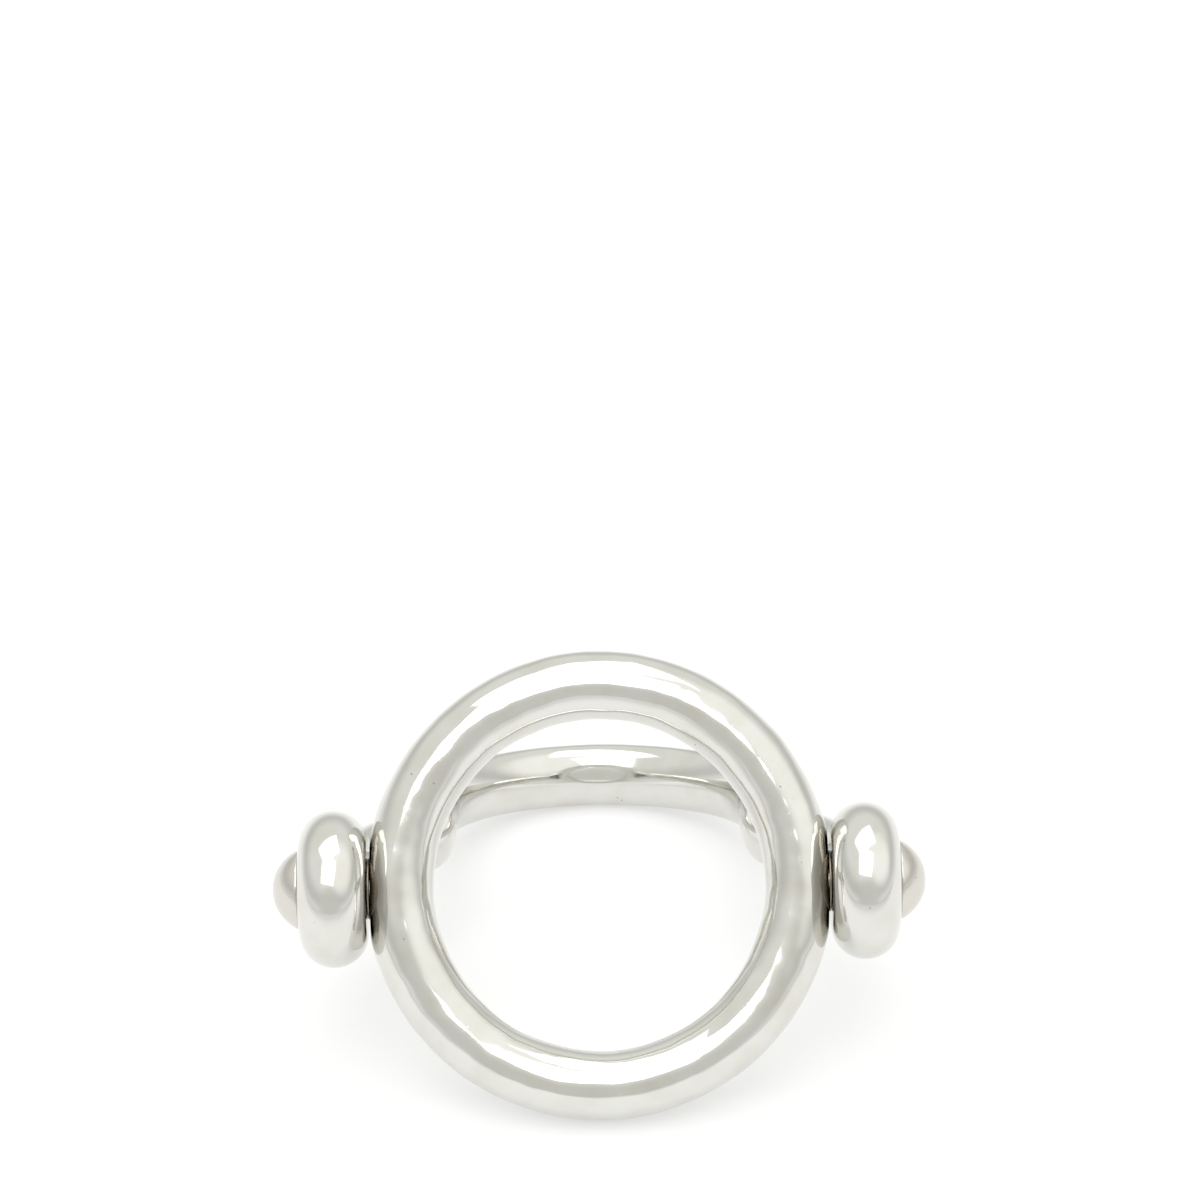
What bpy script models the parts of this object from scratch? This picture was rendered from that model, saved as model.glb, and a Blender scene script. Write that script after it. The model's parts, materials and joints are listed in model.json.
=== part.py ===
"""Ring and rear bow joined by two domed pivot pins, like a small swivelling scarf ring.

The ring swings between the two round eyes of the bow. At rest the piece stands by itself:
the ring leans back on its lower edge and the bow reaches back and down to the table.
Units are metres, +Z is up, X runs along the pivots and the ring's open face looks to -Y.
"""
import math

import bmesh
import bpy
from mathutils import Matrix

MM = 0.001

# Ring
RING_BAR_RADIUS = 3.0 * MM
RING_PATH_RADIUS = 16.85 * MM
RING_OUTER_RADIUS = RING_PATH_RADIUS + RING_BAR_RADIUS
SPOT_FACE_DEPTH = 0.55 * MM
SPOT_FACE_RADIUS = 5.0 * MM

# Bow: an oval bar that passes round the ring's swing and closes in a narrower back
BOW_HALF_HEIGHT = 2.95 * MM
BOW_HALF_THICKNESS = 2.05 * MM
SHOULDER_PATH_RADIUS = 22.3 * MM
BACK_PATH_RADIUS = 14.75 * MM
BACK_PATH_DEPTH = 39.8 * MM
KNUCKLE_RADIUS = 2.5 * MM

# Eyes at the bow's ends
EYE_RADIUS = 6.65 * MM
EYE_THICKNESS = 5.75 * MM
EYE_FACE_RADIUS = 3.9 * MM

# Pivots: a washer between ring and eye, and a pin through both
WASHER_RADIUS = 2.6 * MM
WASHER_THICKNESS = 0.15 * MM
FACE_GAP = 0.03 * MM
PIN_RADIUS = 1.5 * MM
PIN_BORE_GAP = 0.06 * MM
PIN_HOLE_DEPTH = 3.6 * MM
PIN_END_GAP = 0.2 * MM
DOME_RADIUS = 3.33 * MM
DOME_HEIGHT = 2.1 * MM
DOME_SKIRT = 0.15 * MM

# Rest pose: the bow's slope down to the table, which settles how far the ring leans
BOW_SLOPE = math.radians(20.38)

# Where the bow's path begins inside the eye, in degrees back from the pivot axis
PATH_START = 8.0

# Facets
ROUND_STEPS = 64
RING_STEPS = 120
BAR_STEPS = 36
EYE_RIM_STEPS = 10
DOME_STEPS = 10
SHOULDER_STEPS = 18
KNUCKLE_STEPS = 8
BACK_STEPS = 24
BOW_BEVEL_RESOLUTION = 12
MERGE = 0.00001

# How far a cutter reaches past the surface that it cuts
OVERCUT = 1.0 * MM

# Places along the pivot axis, from the ring's seat outwards
SEAT_X = RING_OUTER_RADIUS - SPOT_FACE_DEPTH
WASHER_X = SEAT_X + FACE_GAP
EYE_INNER_X = WASHER_X + WASHER_THICKNESS + FACE_GAP
EYE_MIDDLE_X = EYE_INNER_X + EYE_THICKNESS / 2
EYE_OUTER_X = EYE_INNER_X + EYE_THICKNESS
DOME_X = EYE_OUTER_X + FACE_GAP

# How far the bow's oval section reaches down and back from its path, once the bow slopes
BOW_REACH_DOWN = math.hypot(BOW_HALF_HEIGHT * math.cos(BOW_SLOPE), BOW_HALF_THICKNESS * math.sin(BOW_SLOPE))
BOW_REACH_BACK = math.hypot(BOW_HALF_HEIGHT * math.sin(BOW_SLOPE), BOW_HALF_THICKNESS * math.cos(BOW_SLOPE))
PIVOT_HEIGHT = BACK_PATH_DEPTH * math.sin(BOW_SLOPE) + BOW_REACH_DOWN
RING_LEAN = math.asin((PIVOT_HEIGHT - RING_BAR_RADIUS) / RING_PATH_RADIUS)

# The origin is under the middle of the whole piece
BACK_Y = BACK_PATH_DEPTH * math.cos(BOW_SLOPE) + BOW_REACH_BACK
FRONT_Y = -RING_PATH_RADIUS * math.cos(RING_LEAN) - RING_BAR_RADIUS
PIVOT_Y = -(BACK_Y + FRONT_Y) / 2

for item in list(bpy.data.objects):
    bpy.data.objects.remove(item, do_unlink=True)

scene = bpy.context.scene
model = bpy.data.collections.new("swivel_ring")
cutters = bpy.data.collections.new("swivel_ring_cutters")
scene.collection.children.link(model)
scene.collection.children.link(cutters)


def metal(name, colour, roughness):
    material = bpy.data.materials.new(name)
    material.use_nodes = True
    shader = material.node_tree.nodes["Principled BSDF"]
    shader.inputs["Base Color"].default_value = (*colour, 1.0)
    shader.inputs["Metallic"].default_value = 1.0
    shader.inputs["Roughness"].default_value = roughness
    return material


def place(item, collection, matrix):
    """Put an object in one collection only, at the given place."""
    for owner in list(item.users_collection):
        owner.objects.unlink(item)
    collection.objects.link(item)
    item.matrix_world = matrix
    return item


def smooth(item):
    for face in item.data.polygons:
        face.use_smooth = True
    return item


def turned(name, profile, steps=ROUND_STEPS):
    """Solid turned about X: the profile lists (x, radius) from the +X end to the -X end."""
    mesh = bpy.data.meshes.new(name)
    points = [(radius, 0.0, x) for x, radius in profile]
    edges = [(index, index + 1) for index in range(len(points) - 1)]
    mesh.from_pydata(points, edges, [])
    item = bpy.data.objects.new(name, mesh)
    screw = item.modifiers.new("turn", "SCREW")
    screw.steps = steps
    screw.render_steps = steps
    screw.use_merge_vertices = True
    screw.merge_threshold = MERGE
    screw.use_smooth_shade = True
    scene.collection.objects.link(item)
    solid = to_mesh(item, name)
    solid.data.transform(Matrix.Rotation(math.radians(90), 4, "Y"))
    return solid


def to_mesh(item, name):
    """Swap an object for its evaluated mesh, with doubled points merged."""
    bpy.context.view_layer.update()
    graph = bpy.context.evaluated_depsgraph_get()
    mesh = bpy.data.meshes.new_from_object(item.evaluated_get(graph))
    shape = bmesh.new()
    shape.from_mesh(mesh)
    bmesh.ops.remove_doubles(shape, verts=shape.verts, dist=MERGE)
    bmesh.ops.recalc_face_normals(shape, faces=shape.faces)
    shape.to_mesh(mesh)
    shape.free()
    matrix = item.matrix_world.copy()
    bpy.data.objects.remove(item, do_unlink=True)
    solid = bpy.data.objects.new(name, mesh)
    scene.collection.objects.link(solid)
    solid.matrix_world = matrix
    return smooth(solid)


def combine(item, other, operation):
    """Boolean with an exact solver, kept as a modifier on the item."""
    change = item.modifiers.new(operation.lower() + "_" + other.name, "BOOLEAN")
    change.operation = operation
    change.solver = "EXACT"
    change.object = other
    place(other, cutters, other.matrix_world.copy())
    other.display_type = "WIRE"
    other.hide_render = True


def arc(centre_x, centre_r, radius, start, end, count):
    """Points (x, r) on an arc, angles in degrees from +x towards +r."""
    points = []
    for index in range(count + 1):
        angle = math.radians(start + (end - start) * index / count)
        points.append((centre_x + radius * math.cos(angle), centre_r + radius * math.sin(angle)))
    return points


def axle_frame(side):
    """Frame on the pivot axis with +X pointing outwards on that side."""
    turn = Matrix.Identity(4) if side > 0 else Matrix.Rotation(math.pi, 4, "Z")
    return pivot @ turn


pivot = Matrix.Translation((0, PIVOT_Y, PIVOT_HEIGHT))
ring_frame = pivot @ Matrix.Rotation(math.pi / 2 - RING_LEAN, 4, "X").inverted()
bow_frame = pivot @ Matrix.Rotation(-BOW_SLOPE, 4, "X")

ring_metal = metal("ring_metal", (0.73, 0.72, 0.69), 0.06)
bow_metal = metal("bow_metal", (0.73, 0.72, 0.69), 0.07)
pin_metal = metal("pin_metal", (0.66, 0.64, 0.60), 0.13)
washer_metal = metal("washer_metal", (0.40, 0.37, 0.32), 0.22)


def make_front_ring():
    bpy.ops.mesh.primitive_torus_add(
        major_radius=RING_PATH_RADIUS,
        minor_radius=RING_BAR_RADIUS,
        major_segments=RING_STEPS,
        minor_segments=BAR_STEPS,
    )
    ring = bpy.context.object
    ring.name = "front_ring"
    ring.data.transform(Matrix.Rotation(math.pi / 2, 4, "X"))
    smooth(ring)
    place(ring, model, ring_frame)
    for side, label in ((-1, "left"), (1, "right")):
        outer = EYE_INNER_X + OVERCUT
        inner = SEAT_X - PIN_HOLE_DEPTH
        profile = [(outer, 0.0), (outer, SPOT_FACE_RADIUS), (SEAT_X, SPOT_FACE_RADIUS)]
        profile += [(SEAT_X, PIN_RADIUS + PIN_BORE_GAP), (inner, PIN_RADIUS + PIN_BORE_GAP), (inner, 0.0)]
        cutter = turned("seat_cutter_" + label, profile)
        cutter.matrix_world = axle_frame(side)
        combine(ring, cutter, "DIFFERENCE")
    ring.data.materials.append(ring_metal)
    return ring


def bow_path():
    """Half of the bow's centreline, from the eye to the middle of the back, as (x, depth).

    It follows the ring's swing at a steady distance, turns outwards again over a small
    knuckle until it runs straight back, and closes with a half circle.
    """
    knuckle_x = BACK_PATH_RADIUS + KNUCKLE_RADIUS
    meeting = math.acos(knuckle_x / (SHOULDER_PATH_RADIUS + KNUCKLE_RADIUS))
    knuckle_depth = (SHOULDER_PATH_RADIUS + KNUCKLE_RADIUS) * math.sin(meeting)
    back_depth = BACK_PATH_DEPTH - BACK_PATH_RADIUS
    end = math.degrees(meeting)
    points = arc(0.0, 0.0, SHOULDER_PATH_RADIUS, PATH_START, end, SHOULDER_STEPS)
    points += arc(knuckle_x, knuckle_depth, KNUCKLE_RADIUS, 180.0 + end, 180.0, KNUCKLE_STEPS)[1:]
    points += arc(0.0, back_depth, BACK_PATH_RADIUS, 0.0, 90.0, BACK_STEPS)
    return points


def make_bow_bar():
    half = bow_path()
    route = half + [(-x, depth) for x, depth in reversed(half[:-1])]
    curve = bpy.data.curves.new("rear_bow", "CURVE")
    curve.dimensions = "3D"
    curve.bevel_depth = BOW_HALF_THICKNESS
    curve.bevel_resolution = BOW_BEVEL_RESOLUTION
    curve.use_fill_caps = True
    spline = curve.splines.new("POLY")
    spline.points.add(len(route) - 1)
    for point, (x, depth) in zip(spline.points, route):
        point.co = (x, depth, 0.0, 1.0)
    item = bpy.data.objects.new("rear_bow", curve)
    scene.collection.objects.link(item)
    bar = to_mesh(item, "rear_bow")
    bar.data.transform(Matrix.Scale(BOW_HALF_HEIGHT / BOW_HALF_THICKNESS, 4, (0, 0, 1)))
    return bar


def eye_profile():
    """A thick disc with fully rounded rim and a small flat on each side."""
    half = EYE_THICKNESS / 2
    rim = EYE_RADIUS - EYE_FACE_RADIUS
    points = [(EYE_MIDDLE_X + half, 0.0)]
    for index in range(EYE_RIM_STEPS + 1):
        angle = math.radians(90.0 * index / EYE_RIM_STEPS)
        points.append((EYE_MIDDLE_X + half * math.cos(angle), EYE_FACE_RADIUS + rim * math.sin(angle)))
    for index in range(EYE_RIM_STEPS - 1, -1, -1):
        angle = math.radians(90.0 * index / EYE_RIM_STEPS)
        points.append((EYE_MIDDLE_X - half * math.cos(angle), EYE_FACE_RADIUS + rim * math.sin(angle)))
    points.append((EYE_MIDDLE_X - half, 0.0))
    return points


def make_rear_bow():
    bow = make_bow_bar()
    place(bow, model, bow_frame)
    bore = PIN_RADIUS + PIN_BORE_GAP
    for side, label in ((-1, "left"), (1, "right")):
        eye = turned("eye_" + label, eye_profile())
        eye.matrix_world = axle_frame(side)
        combine(bow, eye, "UNION")
    for side, label in ((-1, "left"), (1, "right")):
        outer = EYE_OUTER_X + OVERCUT
        inner = EYE_INNER_X - OVERCUT
        drill = turned("bore_" + label, [(outer, 0.0), (outer, bore), (inner, bore), (inner, 0.0)])
        drill.matrix_world = axle_frame(side)
        combine(bow, drill, "DIFFERENCE")
    bow.data.materials.append(bow_metal)
    return bow


def make_washer(side, label):
    hole = PIN_RADIUS + PIN_BORE_GAP
    inner = WASHER_X
    outer = WASHER_X + WASHER_THICKNESS
    profile = [(outer, hole), (outer, WASHER_RADIUS), (inner, WASHER_RADIUS), (inner, hole), (outer, hole)]
    washer = turned("pivot_washer_" + label, profile)
    washer.data.materials.append(washer_metal)
    return place(washer, model, axle_frame(side))


def make_pin(side, label):
    """Shank with a domed head, seated in the ring and running in the bow's eye."""
    ball = (DOME_RADIUS ** 2 + DOME_HEIGHT ** 2) / (2 * DOME_HEIGHT)
    top = DOME_X + DOME_SKIRT + DOME_HEIGHT
    centre = top - ball
    sweep = math.degrees(math.asin(DOME_RADIUS / ball))
    dome = arc(centre, 0.0, ball, 0.0, sweep, DOME_STEPS)
    tip = SEAT_X - PIN_HOLE_DEPTH + PIN_END_GAP
    profile = dome + [(DOME_X, DOME_RADIUS), (DOME_X, PIN_RADIUS), (tip, PIN_RADIUS), (tip, 0.0)]
    pin = turned("pivot_pin_" + label, profile)
    pin.data.materials.append(pin_metal)
    return place(pin, model, axle_frame(side))


make_rear_bow()
make_front_ring()
for side, label in ((-1, "left"), (1, "right")):
    make_washer(side, label)
    make_pin(side, label)
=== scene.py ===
"""Looks for the swivel ring: polished metal pieces, a pale floor and a soft white studio."""
import json
import math

import bmesh
import bpy
import numpy as np
from mathutils import Matrix, Vector, noise


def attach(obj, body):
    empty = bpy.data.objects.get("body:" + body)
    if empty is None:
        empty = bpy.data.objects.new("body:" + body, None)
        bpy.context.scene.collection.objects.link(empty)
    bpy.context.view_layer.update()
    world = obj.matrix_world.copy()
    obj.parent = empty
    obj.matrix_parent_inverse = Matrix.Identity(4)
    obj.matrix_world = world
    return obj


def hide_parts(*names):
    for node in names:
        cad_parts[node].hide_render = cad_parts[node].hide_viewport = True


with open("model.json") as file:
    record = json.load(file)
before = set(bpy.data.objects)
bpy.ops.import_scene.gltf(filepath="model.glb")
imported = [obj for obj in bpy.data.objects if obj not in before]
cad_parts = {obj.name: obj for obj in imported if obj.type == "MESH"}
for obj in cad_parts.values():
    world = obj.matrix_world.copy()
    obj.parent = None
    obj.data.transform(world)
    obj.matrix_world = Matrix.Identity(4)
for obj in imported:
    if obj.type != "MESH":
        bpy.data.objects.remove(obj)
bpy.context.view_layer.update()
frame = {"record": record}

MM = 0.001

# Sizes: the frame gives the pivot, and the rest repeats the part's own dimensions
PIVOT = Vector(frame["record"]["behaviour"]["joints"][0]["pos_m"])
RING_BAR_RADIUS = 3.0 * MM
RING_PATH_RADIUS = 16.85 * MM
SEAT_X = RING_PATH_RADIUS + RING_BAR_RADIUS - 0.55 * MM
BOW_SLOPE = math.radians(20.38)
BOW_HALF_HEIGHT = 2.95 * MM
BOW_HALF_THICKNESS = 2.05 * MM
SHOULDER_PATH_RADIUS = 22.3 * MM
BACK_PATH_RADIUS = 14.75 * MM
BACK_PATH_DEPTH = 39.8 * MM
KNUCKLE_RADIUS = 2.5 * MM
PATH_START = 8.0  # degrees round the shoulder, inside the eye
EYE_RADIUS = 6.65 * MM
EYE_THICKNESS = 5.75 * MM
EYE_FACE_RADIUS = 3.9 * MM
WASHER_RADIUS = 2.6 * MM
WASHER_THICKNESS = 0.15 * MM
FACE_GAP = 0.03 * MM
PIN_RADIUS = 1.5 * MM
BORE_RADIUS = PIN_RADIUS + 0.06 * MM
PIN_HOLE_DEPTH = 3.6 * MM
PIN_END_GAP = 0.2 * MM
DOME_RADIUS = 3.33 * MM
DOME_HEIGHT = 2.1 * MM
DOME_SKIRT = 0.15 * MM

# Places along the pivot's axis, and the frames that the ring and bow are drawn in
RING_LEAN = math.asin((PIVOT.z - RING_BAR_RADIUS) / RING_PATH_RADIUS)
WASHER_X = SEAT_X + FACE_GAP
EYE_INNER_X = WASHER_X + WASHER_THICKNESS + FACE_GAP
EYE_MIDDLE_X = EYE_INNER_X + EYE_THICKNESS / 2
EYE_OUTER_X = EYE_INNER_X + EYE_THICKNESS
DOME_X = EYE_OUTER_X + FACE_GAP
PIVOT_FRAME = Matrix.Translation(PIVOT)
RING_FRAME = PIVOT_FRAME @ Matrix.Rotation(math.pi / 2 - RING_LEAN, 4, "X").inverted()
BOW_FRAME = PIVOT_FRAME @ Matrix.Rotation(-BOW_SLOPE, 4, "X")

# Finer shapes than the part has: eased edges, and the soft corner where an arm meets its eye
SEAT_ROUNDING = 0.03 * MM
SEAT_ROUNDING_REACH = 12
WASHER_BEVEL = 0.04 * MM
PIN_TIP_BEVEL = 0.2 * MM
DOME_EDGE = ((0.8, 0.01 * MM), (0.3, 0.0), (0.0, 0.04 * MM))  # share of the skirt, and how far in
DOME_SHORT_OF_EDGE = 1.5  # degrees
FILLET = 2.2 * MM
FILLET_NEAREST = FILLET / 4
FILLET_FROM = 20.35 * MM
FILLET_EASE = 1.6 * MM
FILLET_ROUNDS = 12
DOME_MARGIN = 0.1 * MM
FAR_AWAY = 1.0
LEAST_OVAL = 0.01  # keeps the distance finite along the arm's centre
OVERCUT = 1.0 * MM

# Hand-polished waves: (depth, size, seed), and how far each seed shifts the noise
WAVE_SHIFT = (7.3, 3.1, 5.7)
RING_WAVES = ((0.150 * MM, 4.4 * MM, 1), (0.055 * MM, 1.7 * MM, 9))
BOW_WAVES = ((0.050 * MM, 5.0 * MM, 2), (0.010 * MM, 1.8 * MM, 8))
EYE_WAVES = {-1: (0.045 * MM, 3.6 * MM, 2), 1: (0.045 * MM, 3.6 * MM, 4)}

# How finely the shapes are divided
RING_STEPS = 640
RING_SECTION_STEPS = 144
SHOULDER_STEPS = 200
KNUCKLE_STEPS = 60
BACK_STEPS = 240
BOW_POINTS = 660
BOW_SECTION_STEPS = 96
PATH_BLUR = 4.4  # in points of the bow's path
PATH_BLUR_REACH = 13
EYE_STEPS = 200
EYE_FACE_STEPS = 9
EYE_RIM_STEPS = 72
DOME_STEPS = 60
BORE_STEPS = 64
TURNED_STEPS = 192
MERGE_DISTANCE = 1e-7
CAST_SHARP_ANGLE = 35.0
TURNED_SHARP_ANGLE = 50.0

# Camera: square on to the ring, with the piece low in the view and a slight roll
CAMERA_DISTANCE = 320.0 * MM
CAMERA_LENS = 113.5
CAMERA_SENSOR = 36.0
CAMERA_NEAR = 0.01
CAMERA_ELEVATION = math.pi / 2 - RING_LEAN
CAMERA_TILT_UP = math.radians(4.3)
CAMERA_TURN = math.radians(-0.085)
CAMERA_ROLL = math.radians(0.97)

# Surroundings: each colour, and where it comes in by height or by closeness to a direction
SKY_SWEEP = (0.94, 0.945, 0.94)
SKY_WALL = (0.71, 0.71, 0.69)
WALL_RISE = (0.0, 0.22)
SKY_TOP = (0.94, 0.94, 0.905)
TOP_RISE = (0.25, 0.62)
SKY_FRONT = (0.745, 0.74, 0.705)
FRONT_WAY = (0.0, -0.996, 0.087)
FRONT_SPREAD = (0.75, 0.97)
SKY_PATCH = (1.20, 1.20, 1.16)
PATCH_WAY = (0.55, -0.25, 0.80)
PATCH_SPREAD = (0.70, 0.95)
BOX_DISTANCE = 0.6

# Floor: it glows a little, less towards the front
FLOOR_SIZE = 6.0
FLOOR_COLOUR = (0.46, 0.46, 0.46, 1.0)
FLOOR_GLOW_COLOUR = (1.0, 1.0, 1.0, 1.0)
FLOOR_GLOW = (0.50, 0.26)
FLOOR_GLOW_FADE = (-0.045, -0.160)
FLOOR_ROUGHNESS = 0.9
FLOOR_SPECULAR = 0.1

# Metal. Each noise has its scale per metre, its detail, and the part of its range that is used
SILVER = (0.725, 0.722, 0.69)
PIN_COLOUR = (0.66, 0.64, 0.60)
WASHER_COLOUR = (0.40, 0.37, 0.32)
SEED_SHIFT = (0.37, 0.21, 0.11)
SCRATCH_TURNS = ((0.3, 0.9, 0.2), (1.2, -0.4, 0.8), (-0.7, 0.5, 1.9))
SCRATCH_STRETCH = (1.0, 0.05, 1.0)
SCRATCH_NOISE = (5200.0, 1.0, 0.71, 0.80)
SCRATCH_PATCH_NOISE = (260.0, 2.0, 0.42, 0.66)
SCRATCH_ROUGHNESS = 0.22
SMEAR_NOISE = (420.0, 4.0, 0.35, 0.75)
SMEAR_ROUGHNESS = 0.075
TARNISH_NOISE = (330.0, 5.0, 0.40, 0.72)
TARNISH_TINT = (0.94, 0.925, 0.895)
PIT_SCALE = 900.0
PIT_SIZE = 0.11
PIT_PATCH_NOISE = (300.0, 1.0, 0.58, 0.62)
PIT_DEPTH = 2.0
PIT_DARKNESS = 0.85
# Dark colour for the pits, and for painted shade in the gaps beside the eyes: how that shade fades off the
# pivot's axis and away from the gap, and how strong it is
PIT_AND_SHADE_COLOUR = (0.13, 0.10, 0.07, 1.0)
GAP_SHADE_OFF_AXIS = (2.0 * MM, 6.5 * MM)
GAP_SHADE_FROM_GAP = (0.2 * MM, 1.8 * MM)
GAP_SHADE_STRENGTH = 0.42
RIPPLE_NOISE = (700.0, 1.0, 0.0, 1.0)
RIPPLE_HEIGHT = 2.0
RELIEF = 1.2e-6


# Mesh helpers

def from_grid(name, points, wrap_rows, caps=False):
    """Object from a grid of points, closed along its columns, and along its rows if they wrap."""
    rows, columns = points.shape[:2]
    mesh = bpy.data.meshes.new(name)
    index = np.arange(rows * columns).reshape(rows, columns)
    lower = index if wrap_rows else index[:-1]
    upper = np.roll(index, -1, axis=0) if wrap_rows else index[1:]
    faces = np.stack([lower, upper, np.roll(upper, -1, axis=1), np.roll(lower, -1, axis=1)], axis=-1)
    faces = faces.reshape(-1, 4).tolist()
    if caps:
        faces.append(index[0].tolist())
        faces.append(index[-1][::-1].tolist())
    mesh.from_pydata(points.reshape(-1, 3).tolist(), [], faces)
    shape = bmesh.new()
    shape.from_mesh(mesh)
    bmesh.ops.remove_doubles(shape, verts=shape.verts, dist=MERGE_DISTANCE)
    bmesh.ops.recalc_face_normals(shape, faces=shape.faces)
    shape.to_mesh(mesh)
    shape.free()
    item = bpy.data.objects.new(name, mesh)
    bpy.context.scene.collection.objects.link(item)
    return item


def turned(name, profile, steps=TURNED_STEPS, closed=False):
    """Solid turned about X from a profile of (x, radius), from the +X end.

    The profile runs from axis to axis, or is closed on itself.
    """
    turn = np.linspace(0.0, 2 * math.pi, steps, endpoint=False)
    x, radius = np.array(profile).T
    points = np.stack([
        np.repeat(x[:, None], steps, axis=1),
        radius[:, None] * np.cos(turn)[None, :],
        radius[:, None] * np.sin(turn)[None, :],
    ], axis=-1)
    return from_grid(name, points, wrap_rows=closed)


def undulate(item, depth, size, seed):
    """Press the surface in by up to depth, in soft waves of that size, as hand polishing does."""
    mesh = item.data
    offset = Vector([seed * part for part in WAVE_SHIFT])
    normals = [vertex.normal.copy() for vertex in mesh.vertices]
    for vertex, normal in zip(mesh.vertices, normals):
        wave = 0.5 + 0.5 * noise.noise(vertex.co / size + offset)
        vertex.co -= normal * depth * wave


def cut(item, other, operation):
    """Join the other solid to the item or take it away, and use it up."""
    change = item.modifiers.new("cut", "BOOLEAN")
    change.operation = operation
    change.solver = "MANIFOLD"
    change.object = other
    bpy.context.view_layer.update()
    graph = bpy.context.evaluated_depsgraph_get()
    mesh = bpy.data.meshes.new_from_object(item.evaluated_get(graph))
    item.modifiers.clear()
    item.data = mesh
    bpy.data.objects.remove(other, do_unlink=True)


def cut_bore(item, side, outer_x, inner_x):
    """Take a bore for the pin out of the item, between two places on the axis."""
    profile = [(outer_x, 0.0), (outer_x, BORE_RADIUS), (inner_x, BORE_RADIUS), (inner_x, 0.0)]
    bore = turned("bore", profile, BORE_STEPS)
    bore.data.transform(axle(side))
    cut(item, bore, "DIFFERENCE")


def settle(item, sharp, place):
    """Smooth shading with true edges kept sharp, then the mesh is moved to its place."""
    item.data.shade_smooth()
    item.data.set_sharp_from_angle(angle=math.radians(sharp))
    item.data.transform(place)
    return item


def arc(centre_x, centre_r, radius, start, end, count):
    """Points (x, r) on an arc, angles in degrees from +x towards +r."""
    angles = np.radians(np.linspace(start, end, count + 1))
    return [(centre_x + radius * math.cos(a), centre_r + radius * math.sin(a)) for a in angles]


def axle(side):
    """Turn for a thing drawn on the +X side that belongs on the given side."""
    return Matrix.Identity(4) if side > 0 else Matrix.Rotation(math.pi, 4, "Z")


# Pieces

def make_ring():
    around = np.linspace(0.0, 2 * math.pi, RING_STEPS, endpoint=False)[:, None]
    across = np.linspace(0.0, 2 * math.pi, RING_SECTION_STEPS, endpoint=False)[None, :]
    radius = RING_PATH_RADIUS + RING_BAR_RADIUS * np.cos(across)
    x = radius * np.cos(around)
    z = radius * np.sin(around)
    y = -RING_BAR_RADIUS * np.sin(across) + 0 * x
    ring = from_grid("ring_polished", np.stack([x, y, z], axis=-1), wrap_rows=True)
    for depth, size, seed in RING_WAVES:
        undulate(ring, depth, size, seed)
    # The flat seats: whatever reaches past one is pressed back to it, with an eased edge
    for vertex in ring.data.vertices:
        over = (abs(vertex.co.x) - SEAT_X) / SEAT_ROUNDING
        if over > -SEAT_ROUNDING_REACH:
            eased = SEAT_X - SEAT_ROUNDING * math.log(1 + math.exp(-over))
            vertex.co.x = math.copysign(eased, vertex.co.x)
    for side in (-1, 1):
        cut_bore(ring, side, SEAT_X + OVERCUT, SEAT_X - PIN_HOLE_DEPTH)
    return settle(ring, CAST_SHARP_ANGLE, RING_FRAME)


def bow_route():
    """The bow's centreline from one eye round the back to the other, as even points (x, depth)."""
    knuckle_x = BACK_PATH_RADIUS + KNUCKLE_RADIUS
    meeting = math.acos(knuckle_x / (SHOULDER_PATH_RADIUS + KNUCKLE_RADIUS))
    knuckle_depth = (SHOULDER_PATH_RADIUS + KNUCKLE_RADIUS) * math.sin(meeting)
    back_depth = BACK_PATH_DEPTH - BACK_PATH_RADIUS
    end = math.degrees(meeting)
    half = arc(0.0, 0.0, SHOULDER_PATH_RADIUS, PATH_START, end, SHOULDER_STEPS)
    half += arc(knuckle_x, knuckle_depth, KNUCKLE_RADIUS, 180.0 + end, 180.0, KNUCKLE_STEPS)[1:]
    half += arc(0.0, back_depth, BACK_PATH_RADIUS, 0.0, 90.0, BACK_STEPS)
    route = np.array(half + [(-x, depth) for x, depth in reversed(half[:-1])])
    steps = np.concatenate([[0.0], np.cumsum(np.hypot(*np.diff(route, axis=0).T))])
    even = np.linspace(0.0, steps[-1], BOW_POINTS)
    route = np.stack([np.interp(even, steps, route[:, 0]), np.interp(even, steps, route[:, 1])], axis=1)
    weights = np.exp(-0.5 * (np.arange(-PATH_BLUR_REACH, PATH_BLUR_REACH + 1) / PATH_BLUR) ** 2)
    weights /= weights.sum()
    soft = route.copy()
    for column in range(2):
        blurred = np.convolve(route[:, column], weights, mode="valid")
        soft[PATH_BLUR_REACH:-PATH_BLUR_REACH, column] = blurred
    return soft


def to_eye(points):
    """Distance from each point to the nearer eye's surface."""
    aside = np.abs(points[:, 0]) - EYE_MIDDLE_X
    out = np.maximum(np.hypot(points[:, 1], points[:, 2]) - EYE_FACE_RADIUS, 0.0)
    return np.hypot(aside, out) - (EYE_RADIUS - EYE_FACE_RADIUS)


def to_arm(points):
    """Distance from each point to the surface of the arm that leaves the eye."""
    aside = np.hypot(points[:, 0], points[:, 1]) - SHOULDER_PATH_RADIUS
    oval = np.hypot(aside / BOW_HALF_THICKNESS, points[:, 2] / BOW_HALF_HEIGHT)
    distance = np.hypot(aside, points[:, 2]) * (1.0 - 1.0 / np.maximum(oval, LEAST_OVAL))
    return np.where(points[:, 1] > 0.0, distance, FAR_AWAY)


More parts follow.
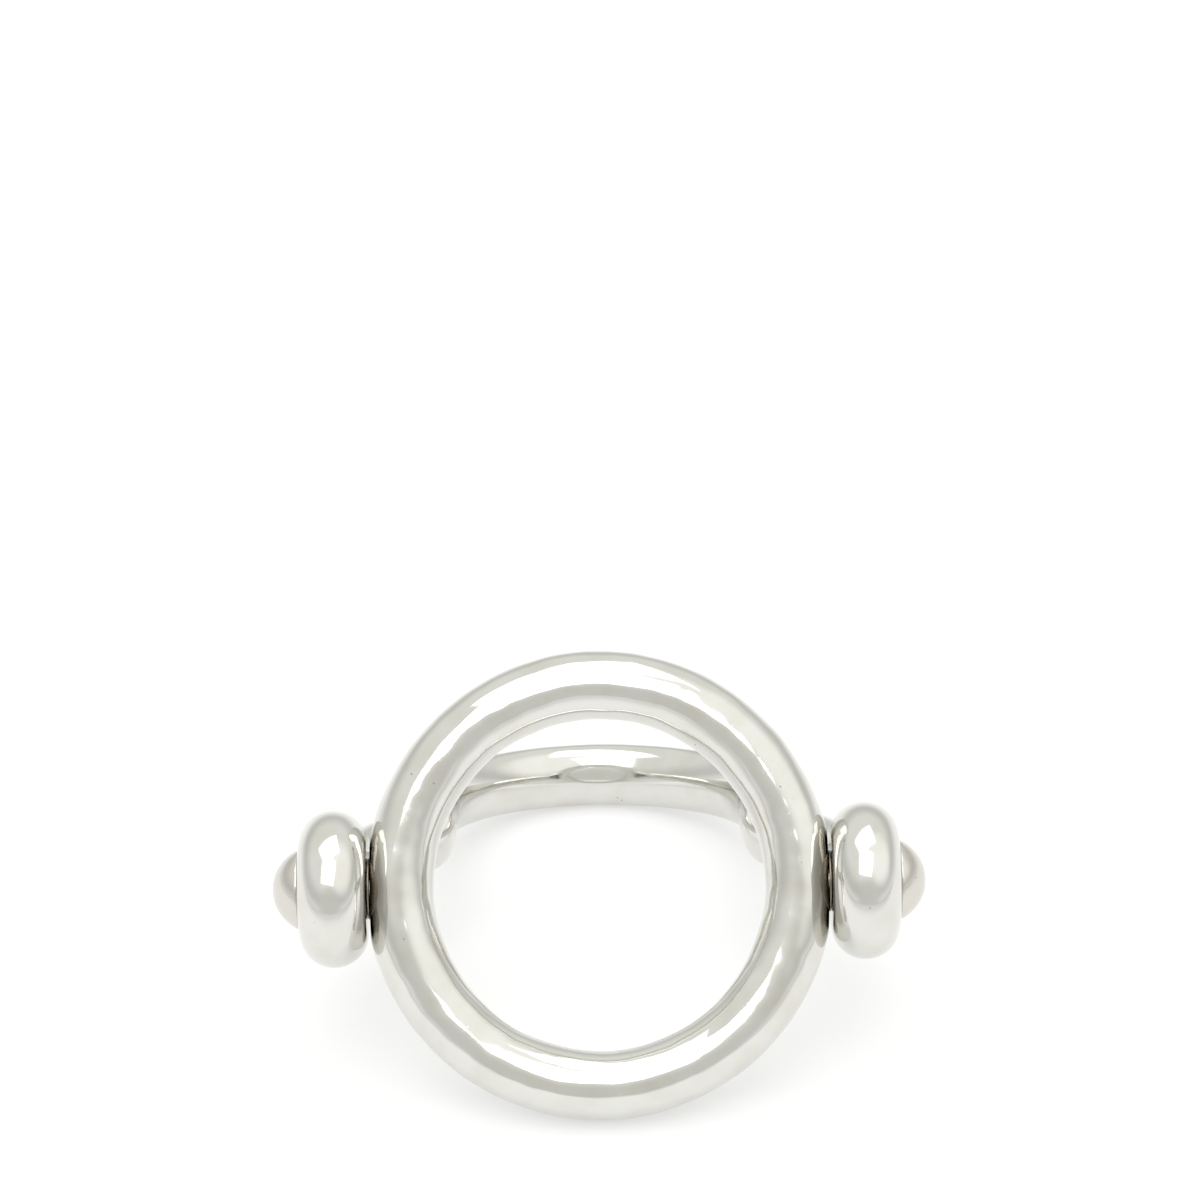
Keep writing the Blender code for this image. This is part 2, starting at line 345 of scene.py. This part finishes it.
def fillet(item, distance_to_other):
    """Swell the surface near the other solid, so that the two meet in a soft corner.

    The side that faces the swinging ring keeps its place, and so does the face under the pin's dome.
    """
    mesh = item.data
    points = np.array([vertex.co for vertex in mesh.vertices])
    normals = np.array([vertex.normal for vertex in mesh.vertices])
    near = np.clip(distance_to_other(points), FILLET_NEAREST, FILLET)
    swell = np.zeros(len(points))
    for _ in range(FILLET_ROUNDS):
        swell = (FILLET - near + swell) ** 2 / (4 * FILLET)
    off_ring = np.clip((np.linalg.norm(points, axis=1) - FILLET_FROM) / FILLET_EASE, 0.0, 1.0)
    off_axis = np.hypot(points[:, 1], points[:, 2])
    off_dome = np.clip((off_axis - DOME_RADIUS - DOME_MARGIN) / FILLET_EASE, 0.0, 1.0)
    points += normals * (swell * off_ring * off_dome)[:, None]
    mesh.vertices.foreach_set("co", points.ravel())
    mesh.update()


def eye_profile():
    """Flat outer face, round rim, flat inner face."""
    half = EYE_THICKNESS / 2
    rim = EYE_RADIUS - EYE_FACE_RADIUS
    outer_face = np.linspace(0.0, EYE_FACE_RADIUS, EYE_FACE_STEPS, endpoint=False)
    inner_face = np.linspace(EYE_FACE_RADIUS, 0.0, EYE_FACE_STEPS + 1)[1:]
    profile = [(EYE_MIDDLE_X + half, radius) for radius in outer_face]
    for angle in np.radians(np.linspace(0.0, 180.0, EYE_RIM_STEPS + 1)):
        profile.append((EYE_MIDDLE_X + half * math.cos(angle), EYE_FACE_RADIUS + rim * math.sin(angle)))
    return profile + [(EYE_MIDDLE_X - half, radius) for radius in inner_face]


def make_bow():
    route = bow_route()
    along = np.gradient(route, axis=0)
    along /= np.linalg.norm(along, axis=1)[:, None]
    sideways = np.stack([along[:, 1], -along[:, 0]], axis=1)
    across = np.linspace(0.0, 2 * math.pi, BOW_SECTION_STEPS, endpoint=False)[None, :]
    reach = BOW_HALF_THICKNESS * np.cos(across)
    x = route[:, 0:1] + sideways[:, 0:1] * reach
    y = route[:, 1:2] + sideways[:, 1:2] * reach
    z = BOW_HALF_HEIGHT * np.sin(across) + 0 * x
    bow = from_grid("bow_polished", np.stack([x, y, z], axis=-1), wrap_rows=False, caps=True)
    fillet(bow, to_eye)
    for depth, size, seed in BOW_WAVES:
        undulate(bow, depth, size, seed)
    for side in (-1, 1):
        eye = turned("eye", eye_profile(), EYE_STEPS)
        undulate(eye, *EYE_WAVES[side])
        eye.data.transform(axle(side))
        fillet(eye, to_arm)
        cut(bow, eye, "UNION")
        cut_bore(bow, side, EYE_OUTER_X + OVERCUT, EYE_INNER_X - OVERCUT)
    return settle(bow, CAST_SHARP_ANGLE, BOW_FRAME)


def make_pin(side, label):
    ball = (DOME_RADIUS ** 2 + DOME_HEIGHT ** 2) / (2 * DOME_HEIGHT)
    centre = DOME_X + DOME_SKIRT + DOME_HEIGHT - ball
    sweep = math.degrees(math.asin(DOME_RADIUS / ball))
    tip = SEAT_X - PIN_HOLE_DEPTH + PIN_END_GAP
    profile = arc(centre, 0.0, ball, 0.0, sweep - DOME_SHORT_OF_EDGE, DOME_STEPS)
    profile += [(DOME_X + DOME_SKIRT * share, DOME_RADIUS - inset) for share, inset in DOME_EDGE]
    profile += [(DOME_X, PIN_RADIUS), (tip + PIN_TIP_BEVEL, PIN_RADIUS),
                (tip, PIN_RADIUS - PIN_TIP_BEVEL), (tip, 0.0)]
    pin = turned("pin_" + label + "_polished", profile)
    return settle(pin, TURNED_SHARP_ANGLE, PIVOT_FRAME @ axle(side))


def make_washer(side, label):
    inner = WASHER_X
    outer = WASHER_X + WASHER_THICKNESS
    profile = [(outer, BORE_RADIUS), (outer, WASHER_RADIUS - WASHER_BEVEL),
               (outer - WASHER_BEVEL, WASHER_RADIUS), (inner + WASHER_BEVEL, WASHER_RADIUS),
               (inner, WASHER_RADIUS - WASHER_BEVEL), (inner, BORE_RADIUS)]
    washer = turned("washer_" + label + "_polished", profile, closed=True)
    return settle(washer, TURNED_SHARP_ANGLE, PIVOT_FRAME @ axle(side))


# Materials

class Nodes:
    """Short ways to add nodes to one tree and link them."""

    def __init__(self, tree):
        self.tree = tree

    def add(self, kind, **values):
        made = self.tree.nodes.new(kind)
        for key, value in values.items():
            setattr(made, key, value)
        return made

    def feed(self, socket, value):
        """Link a socket to another node's output, or give it a plain value."""
        if isinstance(value, bpy.types.NodeSocket):
            self.tree.links.new(value, socket)
        else:
            socket.default_value = value

    def maths(self, operation, first, second=0.0):
        made = self.add("ShaderNodeMath", operation=operation)
        self.feed(made.inputs[0], first)
        self.feed(made.inputs[1], second)
        return made.outputs["Value"]

    def spread(self, source, start, end, low=0.0, high=1.0, kind="LINEAR"):
        """Carry a value from the range start to end over to the range low to high."""
        made = self.add("ShaderNodeMapRange", interpolation_type=kind)
        for key, value in (("Value", source), ("From Min", start), ("From Max", end),
                           ("To Min", low), ("To Max", high)):
            self.feed(made.inputs[key], value)
        return made.outputs["Result"]

    def mix(self, factor, first, second):
        made = self.add("ShaderNodeMix", data_type="RGBA")
        for key, value in (("Factor", factor), ("A", first), ("B", second)):
            self.feed(made.inputs[key], value)
        return made.outputs["Result"]

    def noise(self, where, scale, detail, low, high, out_low=0.0, out_high=1.0):
        """Noise whose range low to high is carried over to out_low to out_high."""
        texture = self.add("ShaderNodeTexNoise")
        texture.inputs["Scale"].default_value = scale
        texture.inputs["Detail"].default_value = detail
        self.feed(texture.inputs["Vector"], where)
        return self.spread(texture.outputs["Fac"], low, high, out_low, out_high)


def gap_shade(nodes, where):
    """Painted shade: darkening in the narrow gaps beside the eyes, where ring and eye shade each other,
    gone a few millimetres off the pivot's axis.
    """
    middle = nodes.add("ShaderNodeVectorMath", operation="SUBTRACT")
    middle.inputs[1].default_value = PIVOT
    nodes.feed(middle.inputs[0], where)
    parts = nodes.add("ShaderNodeSeparateXYZ")
    nodes.feed(parts.inputs["Vector"], middle.outputs["Vector"])
    squares = [nodes.maths("POWER", parts.outputs[axis], 2.0) for axis in ("Y", "Z")]
    off_axis = nodes.maths("SQRT", nodes.maths("ADD", *squares))
    aside = nodes.maths("ABSOLUTE", parts.outputs["X"])
    from_gap = nodes.maths("ABSOLUTE", nodes.maths("SUBTRACT", aside, (SEAT_X + EYE_INNER_X) / 2))
    round_axis = nodes.spread(off_axis, *GAP_SHADE_OFF_AXIS, 1.0, 0.0, "SMOOTHSTEP")
    in_gap = nodes.spread(from_gap, *GAP_SHADE_FROM_GAP, GAP_SHADE_STRENGTH, 0.0, "SMOOTHSTEP")
    return nodes.maths("MULTIPLY", round_axis, in_gap)


def hairlines(nodes, where, seed):
    """Hairline scratches: noise stretched hard in three directions, cut to thin lines, in patches."""
    scratches = None
    for turn in SCRATCH_TURNS:
        stretch = nodes.add("ShaderNodeMapping")
        stretch.inputs["Rotation"].default_value = tuple(angle + seed for angle in turn)
        stretch.inputs["Scale"].default_value = SCRATCH_STRETCH
        nodes.feed(stretch.inputs["Vector"], where)
        lines = nodes.noise(stretch.outputs["Vector"], *SCRATCH_NOISE)
        scratches = lines if scratches is None else nodes.maths("MAXIMUM", scratches, lines)
    return nodes.maths("MULTIPLY", scratches, nodes.noise(where, *SCRATCH_PATCH_NOISE))


def small_pits(nodes, where):
    """Small round pits, few and in patches."""
    specks = nodes.add("ShaderNodeTexVoronoi")
    specks.inputs["Scale"].default_value = PIT_SCALE
    nodes.feed(specks.inputs["Vector"], where)
    pit = nodes.spread(specks.outputs["Distance"], 0.0, PIT_SIZE, 1.0, 0.0)
    return nodes.maths("MULTIPLY", pit, nodes.noise(where, *PIT_PATCH_NOISE))


def polished_metal(name, colour, roughness, seed):
    """Polished plating: smears in its gloss, hairlines, small pits, faint tarnish, and painted shade in
    the gaps beside the eyes.
    """
    material = bpy.data.materials.new(name)
    material.use_nodes = True
    shader = material.node_tree.nodes["Principled BSDF"]
    shader.inputs["Metallic"].default_value = 1.0
    nodes = Nodes(material.node_tree)
    place = nodes.add("ShaderNodeTexCoord").outputs["Object"]
    shift = nodes.add("ShaderNodeMapping")
    shift.inputs["Location"].default_value = tuple(seed * part for part in SEED_SHIFT)
    nodes.feed(shift.inputs["Vector"], place)
    where = shift.outputs["Vector"]

    scratches = hairlines(nodes, where, seed)
    pits = small_pits(nodes, where)

    smears = nodes.noise(where, *SMEAR_NOISE, roughness, roughness + SMEAR_ROUGHNESS)
    rough = nodes.maths("ADD", smears, nodes.maths("MULTIPLY", scratches, SCRATCH_ROUGHNESS))
    nodes.feed(shader.inputs["Roughness"], rough)

    tarnished = tuple(part * tint for part, tint in zip(colour, TARNISH_TINT))
    tarnish = nodes.noise(where, *TARNISH_NOISE)
    metal = nodes.mix(tarnish, (*colour, 1.0), (*tarnished, 1.0))
    # Darkened pits and painted shade in the gaps between ring and eyes share one dark colour
    pits_and_shade = nodes.maths("MAXIMUM", nodes.maths("MULTIPLY", pits, PIT_DARKNESS), gap_shade(nodes, place))
    nodes.feed(shader.inputs["Base Color"], nodes.mix(pits_and_shade, metal, PIT_AND_SHADE_COLOUR))

    ripple = nodes.noise(where, *RIPPLE_NOISE, 0.0, RIPPLE_HEIGHT)
    marks = nodes.maths("ADD", scratches, nodes.maths("MULTIPLY", pits, PIT_DEPTH))
    bump = nodes.add("ShaderNodeBump")
    bump.inputs["Strength"].default_value = 1.0
    bump.inputs["Distance"].default_value = RELIEF
    nodes.feed(bump.inputs["Height"], nodes.maths("SUBTRACT", ripple, marks))
    nodes.feed(shader.inputs["Normal"], bump.outputs["Normal"])
    return material


# Studio

def add_camera():
    data = bpy.data.cameras.new("camera")
    data.lens = CAMERA_LENS
    data.sensor_width = CAMERA_SENSOR
    data.clip_start = CAMERA_NEAR
    camera = bpy.data.objects.new("camera", data)
    bpy.context.scene.collection.objects.link(camera)
    back = Vector((0, -math.cos(CAMERA_ELEVATION), math.sin(CAMERA_ELEVATION)))
    aim = Matrix.Rotation(math.pi / 2 - CAMERA_ELEVATION, 4, "X")
    tip = Matrix.Rotation(CAMERA_TILT_UP, 4, "X") @ Matrix.Rotation(CAMERA_TURN, 4, "Y")
    roll = Matrix.Rotation(-CAMERA_ROLL, 4, "Z")
    camera.matrix_world = Matrix.Translation(PIVOT + back * CAMERA_DISTANCE) @ aim @ tip @ roll
    bpy.context.scene.camera = camera


def add_floor():
    bpy.ops.mesh.primitive_plane_add(size=FLOOR_SIZE)
    floor = bpy.context.object
    floor.name = "floor"
    material = bpy.data.materials.new("floor")
    material.use_nodes = True
    shader = material.node_tree.nodes["Principled BSDF"]
    shader.inputs["Base Color"].default_value = FLOOR_COLOUR
    shader.inputs["Emission Color"].default_value = FLOOR_GLOW_COLOUR
    shader.inputs["Roughness"].default_value = FLOOR_ROUGHNESS
    shader.inputs["Specular IOR Level"].default_value = FLOOR_SPECULAR
    nodes = Nodes(material.node_tree)
    parts = nodes.add("ShaderNodeSeparateXYZ")
    nodes.feed(parts.inputs["Vector"], nodes.add("ShaderNodeTexCoord").outputs["Object"])
    glow = nodes.spread(parts.outputs["Y"], *FLOOR_GLOW_FADE, *FLOOR_GLOW, "SMOOTHSTEP")
    nodes.feed(shader.inputs["Emission Strength"], glow)
    floor.data.materials.append(material)


def add_soft_box(name, above, aside, half_width, half_height, glow):
    """Soft box that shines on the pivot, with its surface's brightness as glow.

    Its place and half sizes are in degrees, seen from the pivot and measured from the camera's way.
    """
    elevation = CAMERA_ELEVATION + math.radians(above)
    aside = math.radians(aside)
    away = Vector((math.sin(aside),
                   -math.cos(aside) * math.cos(elevation),
                   math.cos(aside) * math.sin(elevation)))
    width, height = (2 * BOX_DISTANCE * math.tan(math.radians(half)) for half in (half_width, half_height))
    data = bpy.data.lights.new(name, "AREA")
    data.shape = "RECTANGLE"
    data.size, data.size_y = width, height
    data.energy = glow * math.pi * width * height
    light = bpy.data.objects.new(name, data)
    bpy.context.scene.collection.objects.link(light)
    light.location = PIVOT + away * BOX_DISTANCE
    light.rotation_euler = (-away).to_track_quat("-Z", "Y").to_euler()


def add_world():
    """Studio surroundings: a white sweep rising into grey walls, creamy overhead, dimmer in front."""
    world = bpy.data.worlds.new("studio")
    bpy.context.scene.world = world
    world.use_nodes = True
    nodes = Nodes(world.node_tree)
    way = nodes.add("ShaderNodeTexCoord").outputs["Generated"]
    parts = nodes.add("ShaderNodeSeparateXYZ")
    nodes.feed(parts.inputs["Vector"], way)

    def rise(start, end):
        return nodes.spread(parts.outputs["Z"], start, end, kind="SMOOTHSTEP")

    def towards(direction, start, end):
        dot = nodes.add("ShaderNodeVectorMath", operation="DOT_PRODUCT")
        dot.inputs[1].default_value = Vector(direction).normalized()
        nodes.feed(dot.inputs[0], way)
        return nodes.spread(dot.outputs["Value"], start, end, kind="SMOOTHSTEP")

    whole = (*SKY_SWEEP, 1.0)
    for factor, colour in (
        (rise(*WALL_RISE), SKY_WALL),
        (rise(*TOP_RISE), SKY_TOP),
        (towards(FRONT_WAY, *FRONT_SPREAD), SKY_FRONT),
        (towards(PATCH_WAY, *PATCH_SPREAD), SKY_PATCH),
    ):
        whole = nodes.mix(factor, whole, (*colour, 1.0))
    nodes.feed(world.node_tree.nodes["Background"].inputs["Color"], whole)


add_camera()
add_floor()
add_world()
add_soft_box("soft_box", above=26.0, aside=-6.0, half_width=20.0, half_height=19.0, glow=2.1)
add_soft_box("top_box", above=62.5, aside=-4.0, half_width=25.0, half_height=17.0, glow=1.26)
bpy.context.scene.view_settings.view_transform = "Standard"

pieces = [
    (make_ring(), "ring", "front_ring", "ring_metal"),
    (make_bow(), "bow", "rear_bow", "bow_metal"),
]
for side, label in ((-1, "left"), (1, "right")):
    pieces.append((make_pin(side, label), "ring", "pivot_pin_" + label, "pin_metal"))
    pieces.append((make_washer(side, label), "bow", "pivot_washer_" + label, "washer_metal"))

finishes = {
    "ring_metal": polished_metal("ring_metal_polish", SILVER, roughness=0.06, seed=1.0),
    "bow_metal": polished_metal("bow_metal_polish", SILVER, roughness=0.07, seed=2.0),
    "pin_metal": polished_metal("pin_metal_polish", PIN_COLOUR, roughness=0.13, seed=3.0),
    "washer_metal": polished_metal("washer_metal_polish", WASHER_COLOUR, roughness=0.22, seed=4.0),
}
for piece, body, node_name, slot_name in pieces:
    piece.data.materials.clear()
    piece.data.materials.append(finishes[slot_name])
    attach(piece, body)
    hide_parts(node_name)
